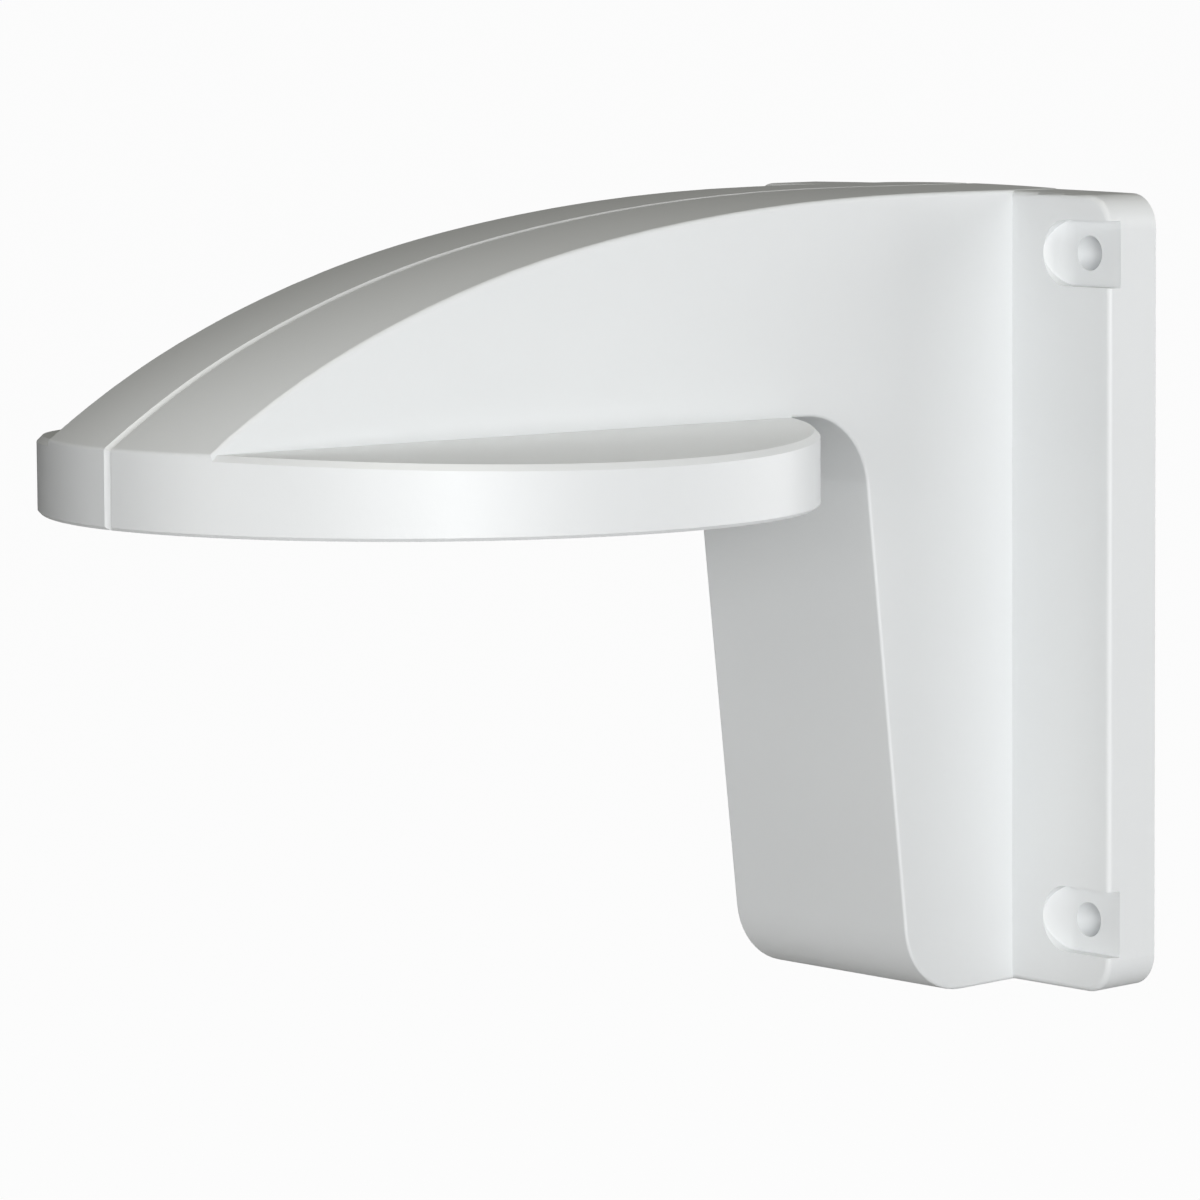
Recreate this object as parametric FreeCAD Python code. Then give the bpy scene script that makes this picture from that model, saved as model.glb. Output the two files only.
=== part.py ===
import FreeCAD, Part
import math
import os

os.makedirs("parts", exist_ok=True)
V = FreeCAD.Vector

# All sizes in mm. The origin lies in the wall plane, midway between the four wall screws.
# The arm reaches out along -Y, Z is up, X runs along the wall.

# Round camera seat at the free end
disc_d = 120.0
seat_reach = 112.0
ledge_z = 29.65
rim_h = 12.9
ledge_drop = 0.6
ledge_fall = 1.65
rim_top_bevel = 0.9
rim_low_bevel = 0.5

# Arm with its arched and slightly crowned top
arm_w = 42.0
arch_h = 33.7
arch_line = [(0, -0.025), (0.05, 0.139), (0.11, 0.307), (0.18, 0.467), (0.26, 0.615),
             (0.36, 0.758), (0.47, 0.867), (0.6, 0.951), (0.75, 0.997), (1, 1)]
plan_bow_r = 75.0
crown_front_r = 500.0
crown_wall_r = 660.0
arm_edge_r = 0.7

# Column under the wall end of the arm
column_top_out = 42.1
column_foot_out = 31.9
under_drop = 0.05
arm_embed = 3.87
inner_corner_r = 12.5
toe_r = 11.5
column_edge_r = 0.5

# Wall plate
plate_w = 87.4
plate_t = 10.0
plate_foot = 64.2
foot_fall = 0.38
plate_top_drop = 0.35
plate_crown_r = 2300.0
plate_corner_r = 5.3
plate_front_edge_r = 0.9

# Wall screw holes and the pockets round them
screw_side_gap = 7.1
screw_low_gap = 10.85
screw_top_gap = 9.65
screw_d = 5.6
pocket_h = 10.6
pocket_t = 2.35
pocket_inset = 3.0
pocket_side_wall = 2.4
pocket_end_wall = 1.8

# Fine groove along the middle of the arch and down the front of the rim
groove_w = 1.9
groove_t = 0.6

# Hollows behind the skin
wall_t = 3.0
boss_d = 12.0
cable_hole_d = 32.0
cable_way_end = 36.0
ring_wall_t = 3.0
seat_hole_span = 60.0
seat_boss_d = 9.0
seat_hole_d = 3.4
seat_hole_depth = 7.0
rib_t = 2.5
rib_inset = 1.5
roof_t = 3.5
web_t = 2.4

# Derived sizes
disc_r = disc_d / 2.0
reach = seat_reach + disc_r
arm_half = arm_w / 2.0
plate_half = plate_w / 2.0
seat_z = ledge_z - rim_h
top_z = ledge_z + arch_h
ledge_side_z = ledge_z - ledge_drop - ledge_fall * (arm_half / disc_r) ** 2
under_z = ledge_side_z - under_drop
plate_top_z = top_z - plate_top_drop
screw_dx = plate_w - 2.0 * screw_side_gap
screw_low_z = -plate_foot + screw_low_gap
screw_high_z = plate_top_z - screw_top_gap


def arch_points():
    """Middle line of the arch, run on a little past both ends."""
    pts = [V(0, -reach * (1.0 - t), ledge_z + arch_h * h) for t, h in arch_line]
    first = pts[0] + (pts[0] - pts[1]) * 1.5
    last = pts[-1] + (pts[-1] - pts[-2]) * 0.2
    return [first] + pts + [last]


def crown_drop(x, y):
    """How far the top falls towards its sides, a little more near the free end."""
    share = (y / reach) ** 2
    return x * x / 2.0 * ((1.0 - share) / crown_wall_r + share / crown_front_r)


def under_arch():
    """Everything below the bowed and crowned top of the arch."""
    half = arm_w
    grid = []
    for p in arch_points():
        row = []
        for x in (-half, 0.0, half):
            row.append(V(x, p.y + x * x / (2.0 * plan_bow_r), p.z - crown_drop(x, p.y)))
        grid.append(row)
    face = Part.BSplineSurface()
    face.interpolate(grid)
    return face.toShape().extrude(V(0, 0, -3.0 * (arch_h + plate_foot)))


def prism_x(points, half):
    """Solid with an outline in the middle plane, given as (y, z), and a half width."""
    wire = Part.makePolygon([V(-half, y, z) for y, z in points + points[:1]])
    return Part.Face(wire).extrude(V(2.0 * half, 0, 0))


def box(x0, x1, y0, y1, z0, z1):
    return Part.makeBox(x1 - x0, y1 - y0, z1 - z0, V(x0, y0, z0))


def rod_y(x, z, d, y0, y1):
    return Part.makeCylinder(d / 2.0, y1 - y0, V(x, y0, z), V(0, 1, 0))


def rod_z(x, y, d, z0, z1):
    return Part.makeCylinder(d / 2.0, z1 - z0, V(x, y, z0), V(0, 0, 1))


def edges_where(shape, test):
    return [e for e in shape.Edges if test(e, e.BoundBox)]


def foot_z(y):
    """Height of the slightly sloping underside of plate and column."""
    return -plate_foot + foot_fall * y / plate_t


def column_y(z, inset):
    """Front of the column, which leans back towards the wall as it goes down."""
    run = (column_top_out - column_foot_out) / (under_z + plate_foot)
    return -column_top_out + run * (under_z - z) + inset


def disc_solid():
    disc = Part.makeCylinder(disc_r, rim_h, V(0, -seat_reach, seat_z), V(0, 0, 1), 180)
    disc = disc.fuse(disc.mirror(V(0, -seat_reach, 0), V(0, 1, 0)))
    wide = disc_r * 1.2
    low = ledge_z - ledge_drop - ledge_fall * (wide / disc_r) ** 2
    bow = Part.Arc(V(-wide, 0, low), V(0, 0, ledge_z - ledge_drop), V(wide, 0, low)).toShape()
    base = Part.makePolygon([V(wide, 0, low), V(wide, 0, seat_z - 1.0), V(-wide, 0, seat_z - 1.0),
                             V(-wide, 0, low)])
    bow = Part.Face(Part.Wire([bow] + base.Edges)).extrude(V(0, -2.0 * reach, 0))
    disc = disc.common(bow)
    rim_top = edges_where(disc, lambda e, b: b.YLength > disc_r * 0.4 and b.ZMin > seat_z + 1.0)
    disc = disc.makeChamfer(rim_top_bevel, rim_top)
    rim_low = edges_where(disc, lambda e, b: b.YLength > disc_r * 0.4 and b.ZMax < seat_z + 0.1)
    return disc.makeChamfer(rim_low_bevel, rim_low)


def arm_solid():
    side = math.sqrt(disc_r ** 2 - arm_half ** 2)
    embed_z = ledge_z - arm_embed
    far = -reach - 10.0
    high = top_z + 10.0
    outline = [(0, foot_z(0)), (column_y(foot_z(-column_foot_out), 0), foot_z(-column_foot_out)),
               (column_y(under_z, 0), under_z), (-seat_reach, under_z), (-seat_reach, embed_z),
               (far, embed_z), (far, high), (0, high)]
    arm = prism_x(outline, arm_half)
    inner = edges_where(arm, lambda e, b: b.XLength > arm_w * 0.9 and abs(b.ZMax - under_z) < 0.01
                        and b.YMax > -column_top_out - 0.5)
    arm = arm.makeFillet(inner_corner_r, inner)
    toe = edges_where(arm, lambda e, b: b.XLength > arm_w * 0.9 and b.ZMax < -plate_foot + 1.0
                      and b.YMax < -column_foot_out * 0.5)
    arm = arm.makeFillet(toe_r, toe)
    long = edges_where(arm, lambda e, b: b.XLength < 0.01 and b.YLength > 0.01 and b.ZMax < under_z + 0.01
                       and b.YMin > -seat_reach - 0.01)
    arm = arm.makeFillet(column_edge_r, long)
    near_y = -seat_reach + side - rim_top_bevel
    arm = arm.fuse(box(-arm_half, arm_half, -seat_reach, near_y, embed_z, ledge_z))
    front = rod_z(0, -seat_reach, disc_d, -plate_foot * 2.0, high * 2.0)
    rest = box(-arm_half - 1, arm_half + 1, -seat_reach, 1, -plate_foot * 2.0, high * 2.0)
    arm = arm.common(front.fuse(rest))
    arm = arm.common(under_arch())
    top = edges_where(arm, lambda e, b: (b.YLength > reach * 0.8) or
                      (b.YMax < -seat_reach - side + 1.0 and b.XLength > arm_w * 0.9
                       and b.ZMax > ledge_z - 1.5))
    return arm.makeFillet(arm_edge_r, top)


def plate_solid():
    side_z = plate_top_z - plate_half ** 2 / (2.0 * plate_crown_r)
    low = -plate_foot * 1.2
    top = Part.Arc(V(-plate_half, 0, side_z), V(0, 0, plate_top_z), V(plate_half, 0, side_z)).toShape()
    rest = Part.makePolygon([V(plate_half, 0, side_z), V(plate_half, 0, low), V(-plate_half, 0, low),
                             V(-plate_half, 0, side_z)])
    plate = Part.Face(Part.Wire([top] + rest.Edges)).extrude(V(0, -plate_t, 0))
    slope = [(5.0, foot_z(5.0)), (-plate_t - 5.0, foot_z(-plate_t - 5.0)), (-plate_t - 5.0, top_z + 9.0),
             (5.0, top_z + 9.0)]
    plate = plate.common(prism_x(slope, plate_w))
    corners = edges_where(plate, lambda e, b: b.YLength > plate_t * 0.9 and b.XLength < 0.5)
    plate = plate.makeFillet(plate_corner_r, corners)
    front = edges_where(plate, lambda e, b: b.YMax < -plate_t + 0.5)
    return plate.makeFillet(plate_front_edge_r, front)


def screw_places():
    return [(sx * screw_dx / 2.0, z) for sx in (-1, 1) for z in (screw_low_z, screw_high_z)]


def pocket(x, z):
    """Slot from a wall screw out to the side of the plate, with a scooped inner end."""
    s = 1.0 if x > 0 else -1.0
    r = pocket_h / 2.0
    start = x - s * pocket_inset
    end = s * (plate_half + 2.0)
    slot = box(min(start, end), max(start, end), -plate_t - 5.0, -plate_t + pocket_t, z - r, z + r)
    scoop_r = (r ** 2 + pocket_t ** 2) / (2.0 * pocket_t)
    scoop = rod_z(start, -plate_t + pocket_t - scoop_r, 2.0 * scoop_r, z - pocket_h, z + pocket_h)
    scoop = scoop.common(rod_y(start, z, pocket_h, -plate_t - scoop_r, 0))
    return slot.fuse(scoop)


def groove():
    half = groove_w
    notch = Part.makePolygon([V(-half, -reach - groove_t, 0), V(half, -reach - groove_t, 0),
                              V(0, -reach + groove_t, 0), V(-half, -reach - groove_t, 0)])
    rim = Part.Face(notch).extrude(V(0, 0, rim_h + 2.0))
    rim.translate(V(0, 0, seat_z - 1.0))
    line = Part.BSplineCurve()
    line.interpolate(arch_points())
    p0 = line.value(line.FirstParameter)
    along = line.tangent(line.FirstParameter)[0]
    up = V(0, -along.z, along.y)
    if up.z < 0:
        up = up * -1.0
    a = p0 + V(-half, 0, 0) + up * groove_t
    b = p0 + V(half, 0, 0) + up * groove_t
    c = p0 - up * groove_t
    arch = Part.Wire([line.toShape()]).makePipeShell([Part.makePolygon([a, b, c, a])], True, False)
    return rim.fuse(arch)


def back_hollow():
    """Open space inside the column and the arm, for the cable."""
    half = arm_half - wall_t
    floor_z = foot_z(0) + wall_t
    arm_floor = under_z + wall_t
    seat_floor = web_z() + wall_t
    step_y = -seat_reach + math.sqrt(disc_r ** 2 - arm_half ** 2) - wall_t
    end_y = -seat_reach - cable_way_end
    drop = V(0, 0, -roof_t - crown_drop(half, -reach))
    roof = Part.BSplineCurve()
    roof.interpolate([p + drop for p in arch_points()])
    roof = roof.toShape()
    high = top_z + 20.0
    ends = [roof.Vertexes[0].Point, roof.Vertexes[-1].Point]
    over = Part.makePolygon([ends[1], V(0, ends[1].y, high), V(0, ends[0].y, high), ends[0]])
    over = Part.Face(Part.Wire([roof] + over.Edges)).extrude(V(2.0 * arm_w, 0, 0))
    over.translate(V(-arm_w, 0, 0))
    outline = [(5.0, floor_z), (column_y(floor_z, wall_t), floor_z),
               (column_y(arm_floor, wall_t), arm_floor), (step_y, arm_floor),
               (step_y, seat_floor), (end_y, seat_floor), (end_y, top_z), (5.0, top_z)]
    core = prism_x(outline, half)
    across = edges_where(core, lambda e, b: b.XLength > half and b.YMax < -1.0)
    soft = [e for e in across if e.BoundBox.ZMax < floor_z + 0.1
            or (abs(e.BoundBox.ZMax - arm_floor) < 0.1 and e.BoundBox.YMax > step_y + 1.0)]
    flat = column_y(arm_floor, wall_t) - step_y
    core = core.makeFillet(min(toe_r - wall_t, flat * 0.8), soft)
    bridge = box(-arm_half, arm_half, -plate_t + wall_t, 6.0, -rib_t / 2.0, rib_t / 2.0)
    core = core.cut([over, bridge])
    return core


def web_z():
    """Underside of the thin web that carries the seat."""
    return ledge_z - ledge_drop - ledge_fall - web_t


def flange_hollow(s):
    x0 = arm_half
    x1 = plate_half - wall_t
    depth = plate_t - wall_t
    high = plate_top_z - plate_half ** 2 / (2.0 * plate_crown_r) - wall_t
    core = box(x0, x1, -depth, 5.0, foot_z(0) + wall_t, high)
    outer = edges_where(core, lambda e, b: b.YLength > depth and b.XMin > x1 - 0.1)
    core = core.makeFillet(plate_corner_r - wall_t, outer)
    if s < 0:
        core = core.mirror(V(0, 0, 0), V(1, 0, 0))
    keep = []
    for x, z in screw_places():
        if x * s > 0:
            h = pocket_h / 2.0 + pocket_side_wall
            inner = x - s * (pocket_inset + pocket_h / 2.0 + pocket_end_wall)
            edge = s * plate_half
            keep.append(box(min(inner, edge), max(inner, edge), -plate_t, -plate_t + pocket_t + wall_t,
                            z - h, z + h))
            keep.append(rod_y(x, z, boss_d, -plate_t, 6.0))
    for k in (1, 2, 3):
        z = screw_low_z + (screw_high_z - screw_low_z) * k / 4.0
        keep.append(box(min(s * x0, s * x1) - 1.0, max(s * x0, s * x1) + 1.0, -plate_t, 6.0,
                        z - rib_t / 2.0, z + rib_t / 2.0))
    return core.cut(keep)


def seat_hollow():
    core = rod_z(0, -seat_reach, disc_d - 2.0 * wall_t, seat_z - 1.0, web_z())
    ring = rod_z(0, -seat_reach, cable_hole_d + 2.0 * ring_wall_t, seat_z - 2.0, web_z() + 1.0)
    keep = [ring]
    for sx in (-1, 1):
        for sy in (-1, 1):
            x = sx * seat_hole_span / 2.0
            y = -seat_reach + sy * seat_hole_span / 2.0
            keep.append(rod_z(x, y, seat_boss_d, seat_z - 2.0, web_z() + 1.0))
            rib = box(0, disc_r + 2.0, -rib_t / 2.0, rib_t / 2.0, seat_z + rib_inset, web_z() + 1.0)
            rib.rotate(V(0, 0, 0), V(0, 0, 1), math.degrees(math.atan2(sy, sx)))
            rib.translate(V(0, -seat_reach, 0))
            keep.append(rib)
    return core.cut(keep)


def bracket():
    body = arm_solid().fuse([disc_solid(), plate_solid()]).removeSplitter()
    body = body.cut([pocket(x, z) for x, z in screw_places()])
    body = body.cut(groove())
    cable_hole = rod_z(0, -seat_reach, cable_hole_d, seat_z - 2.0, web_z() + wall_t + 1.0)
    for tool in (back_hollow(), flange_hollow(1), flange_hollow(-1), seat_hollow(), cable_hole):
        body = body.cut(tool)
    holes = [rod_y(x, z, screw_d, -plate_t - 1.0, 1.0) for x, z in screw_places()]
    for sx in (-1, 1):
        for sy in (-1, 1):
            holes.append(rod_z(sx * seat_hole_span / 2.0, -seat_reach + sy * seat_hole_span / 2.0,
                               seat_hole_d, seat_z - 1.0, seat_z + seat_hole_depth))
    body = body.cut(holes)
    return body


body = bracket().Solids[0]
body.exportStep("parts/bracket_body.step")
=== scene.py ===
import bmesh
import bpy
import math
from mathutils import Matrix, Vector

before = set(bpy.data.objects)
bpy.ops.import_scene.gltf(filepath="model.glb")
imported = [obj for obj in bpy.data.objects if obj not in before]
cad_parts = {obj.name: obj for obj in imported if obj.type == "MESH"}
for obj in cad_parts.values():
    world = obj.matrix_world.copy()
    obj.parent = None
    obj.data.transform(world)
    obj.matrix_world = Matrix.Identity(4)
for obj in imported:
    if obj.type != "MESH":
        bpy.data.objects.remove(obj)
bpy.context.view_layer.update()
scene = bpy.context.scene

noiseMiddle = 0.5  # a noise runs from 0 to 1
plainWhite = (1.0, 1.0, 1.0)


class Val:  # wraps a socket so that shader maths reads as plain expressions
    def __init__(self, tree, out=None):
        self.tree, self.out = tree, out

    def node(self, kind, settings=None, inputs=None, out=0):
        made = self.tree.nodes.new(kind)
        for key, value in (settings or {}).items():
            setattr(made, key, value)
        for key, value in (inputs or {}).items():
            if isinstance(value, Val):
                self.tree.links.new(value.out, made.inputs[key])
            else:
                made.inputs[key].default_value = value
        return Val(self.tree, made.outputs[out] if made.outputs else None)

    def maths(self, operation, a, b):
        return self.node("ShaderNodeMath", {"operation": operation}, {0: a, 1: b})

    def __add__(self, other):
        return self.maths("ADD", self, other)

    __radd__ = __add__

    def __mul__(self, other):
        return self.maths("MULTIPLY", self, other)

    __rmul__ = __mul__

    def __sub__(self, other):
        return self.maths("SUBTRACT", self, other)

    def __rsub__(self, other):
        return self.maths("SUBTRACT", other, self)


def noise(start, scale):  # scale is in patches or grains per metre
    place = start.node("ShaderNodeTexCoord", out="Object")
    return start.node("ShaderNodeTexNoise", inputs={"Vector": place, "Scale": scale})


def mixColours(start, share, low, high):  # a Mix node's colour sockets go by number
    return start.node("ShaderNodeMix", {"data_type": "RGBA"}, {0: share, 6: low, 7: high}, out=2)


def newMaterial(name, surface):
    material = bpy.data.materials.new(name)
    material.use_nodes = True
    material.node_tree.nodes.clear()
    start = Val(material.node_tree)
    start.node("ShaderNodeOutputMaterial", inputs={"Surface": surface(start)})
    return material


plastic = dict(
    light=(0.824, 0.843, 0.853, 1.0),
    deep=(0.802, 0.819, 0.828, 1.0),
    patchScale=14.0,  # broad, faint patches of colour and gloss
    rough=0.37,
    roughSpread=0.06,
    grainScale=1100.0,  # fine moulded skin
    grainHeight=0.000012,
    grainStrength=1.0,
)


def plasticSurface(start):
    broad = noise(start, plastic["patchScale"])
    fine = noise(start, plastic["grainScale"])
    tint = mixColours(start, broad, plastic["deep"], plastic["light"])
    uneven = broad - noiseMiddle + fine - noiseMiddle
    rough = plastic["rough"] + uneven * plastic["roughSpread"]
    skin = start.node("ShaderNodeBump", inputs={
        "Height": fine, "Distance": plastic["grainHeight"], "Strength": plastic["grainStrength"]})
    return start.node("ShaderNodeBsdfPrincipled",
                      inputs={"Base Color": tint, "Roughness": rough, "Normal": skin})


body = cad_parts["bracket_body"]
body.data.materials.clear()
body.data.materials.append(newMaterial("white_plastic", plasticSurface))
print("plastic done")

floorPlace = dict(
    height=-0.30,
    half=60.0,  # wide enough to fill the frame behind the part
    light=(0.50, 0.50, 0.50, 1.0),
    deep=(0.47, 0.47, 0.47, 1.0),
    paperScale=40.0,
    rough=0.9,
    seenWhite=0.97,  # share of plain white that the camera sees in place of the paper
    glow=1.0,
)


def floorSurface(start):
    fibre = noise(start, floorPlace["paperScale"])
    tint = mixColours(start, fibre, floorPlace["deep"], floorPlace["light"])
    paper = start.node("ShaderNodeBsdfPrincipled",
                       inputs={"Base Color": tint, "Roughness": floorPlace["rough"]})
    glow = start.node("ShaderNodeEmission", inputs={"Strength": floorPlace["glow"]})
    seen = start.node("ShaderNodeLightPath", out="Is Camera Ray")
    return start.node("ShaderNodeMixShader",
                      inputs={0: seen * floorPlace["seenWhite"], 1: paper, 2: glow})


def makeFloor():
    bm = bmesh.new()
    bmesh.ops.create_grid(bm, x_segments=1, y_segments=1, size=floorPlace["half"])
    bmesh.ops.translate(bm, verts=bm.verts, vec=(0.0, 0.0, floorPlace["height"]))
    mesh = bpy.data.meshes.new("floor")
    bm.to_mesh(mesh)
    bm.free()
    floor = bpy.data.objects.new("floor", mesh)
    scene.collection.objects.link(floor)
    mesh.materials.append(newMaterial("floor_paper", floorSurface))


makeFloor()
print("floor done")

camera = dict(
    place=(0.807086, -0.733985, 0.103150),
    azimuth=50.9144,  # degrees from the seat's side of the part, -Y, round towards +X
    down=5.6568,  # degrees below level
    roll=-0.3459,
    focal=6658.4,  # pixels of the frame
    frameWide=1200.0,  # pixels
    sensor=36.0,  # millimetres
    near=0.01,
)


def makeCamera():
    data = bpy.data.cameras.new("camera")
    data.sensor_width = camera["sensor"]
    data.lens = camera["sensor"] * camera["focal"] / camera["frameWide"]
    data.clip_start = camera["near"]
    view = bpy.data.objects.new("camera", data)
    scene.collection.objects.link(view)
    turn = (Matrix.Rotation(math.radians(camera["azimuth"]), 4, "Z")
            @ Matrix.Rotation(math.radians(90.0 - camera["down"]), 4, "X")  # 90 would look level
            @ Matrix.Rotation(math.radians(camera["roll"]), 4, "Z"))
    view.matrix_world = Matrix.Translation(Vector(camera["place"])) @ turn
    scene.camera = view


makeCamera()
print("camera done")

# Azimuths are counted as the camera's is, and heights are degrees above level.
lamps = [
    dict(name="wide", azimuth=57.0, height=4.0, wide=2.0, tall=0.5, watts=19.5, tint=plainWhite),
    dict(name="key", azimuth=59.0, height=3.0, wide=0.4, tall=0.4, watts=6.5, tint=plainWhite),
    dict(name="left", azimuth=-12.0, height=4.0, wide=0.9, tall=0.9, watts=4.7, tint=(1.0, 0.99, 0.96)),
    dict(name="side", azimuth=150.0, height=10.0, wide=0.9, tall=0.9, watts=7.0, tint=plainWhite),
    dict(name="rear", azimuth=176.0, height=8.0, wide=0.9, tall=0.9, watts=9.0, tint=plainWhite),
    dict(name="top", azimuth=56.0, height=80.0, wide=0.9, tall=0.9, watts=9.6, tint=(1.0, 0.98, 0.89)),
]
lampFar = 1.8  # from the point that all lamps face
lampAim = (0.0, -0.09, 0.0)  # close to the middle of the part


def makeLamp(lamp):
    data = bpy.data.lights.new(lamp["name"], "AREA")
    data.shape = "RECTANGLE"
    data.size, data.size_y = lamp["wide"], lamp["tall"]
    data.energy = lamp["watts"]
    data.color = lamp["tint"]
    made = bpy.data.objects.new(lamp["name"], data)
    scene.collection.objects.link(made)
    turn, lift = math.radians(lamp["azimuth"]), math.radians(lamp["height"])
    back = Vector((math.sin(turn) * math.cos(lift), -math.cos(turn) * math.cos(lift), math.sin(lift)))
    made.location = Vector(lampAim) + back * lampFar
    made.rotation_euler = back.to_track_quat("Z", "Y").to_euler()


for lamp in lamps:
    makeLamp(lamp)
print("lamps done")

sky = dict(strength=0.01, seen=1.0)  # as a light, and as the camera sees it


def makeWorld():
    world = bpy.data.worlds.new("studio")
    scene.world = world
    world.use_nodes = True
    world.node_tree.nodes.clear()
    start = Val(world.node_tree)
    white = (*plainWhite, 1.0)
    seen = start.node("ShaderNodeLightPath", out="Is Camera Ray")
    dim = start.node("ShaderNodeBackground", inputs={"Color": white, "Strength": sky["strength"]})
    bright = start.node("ShaderNodeBackground", inputs={"Color": white, "Strength": sky["seen"]})
    both = start.node("ShaderNodeMixShader", inputs={0: seen, 1: dim, 2: bright})
    start.node("ShaderNodeOutputWorld", inputs={"Surface": both})


makeWorld()
scene.view_settings.view_transform = "Standard"
print("sky done")
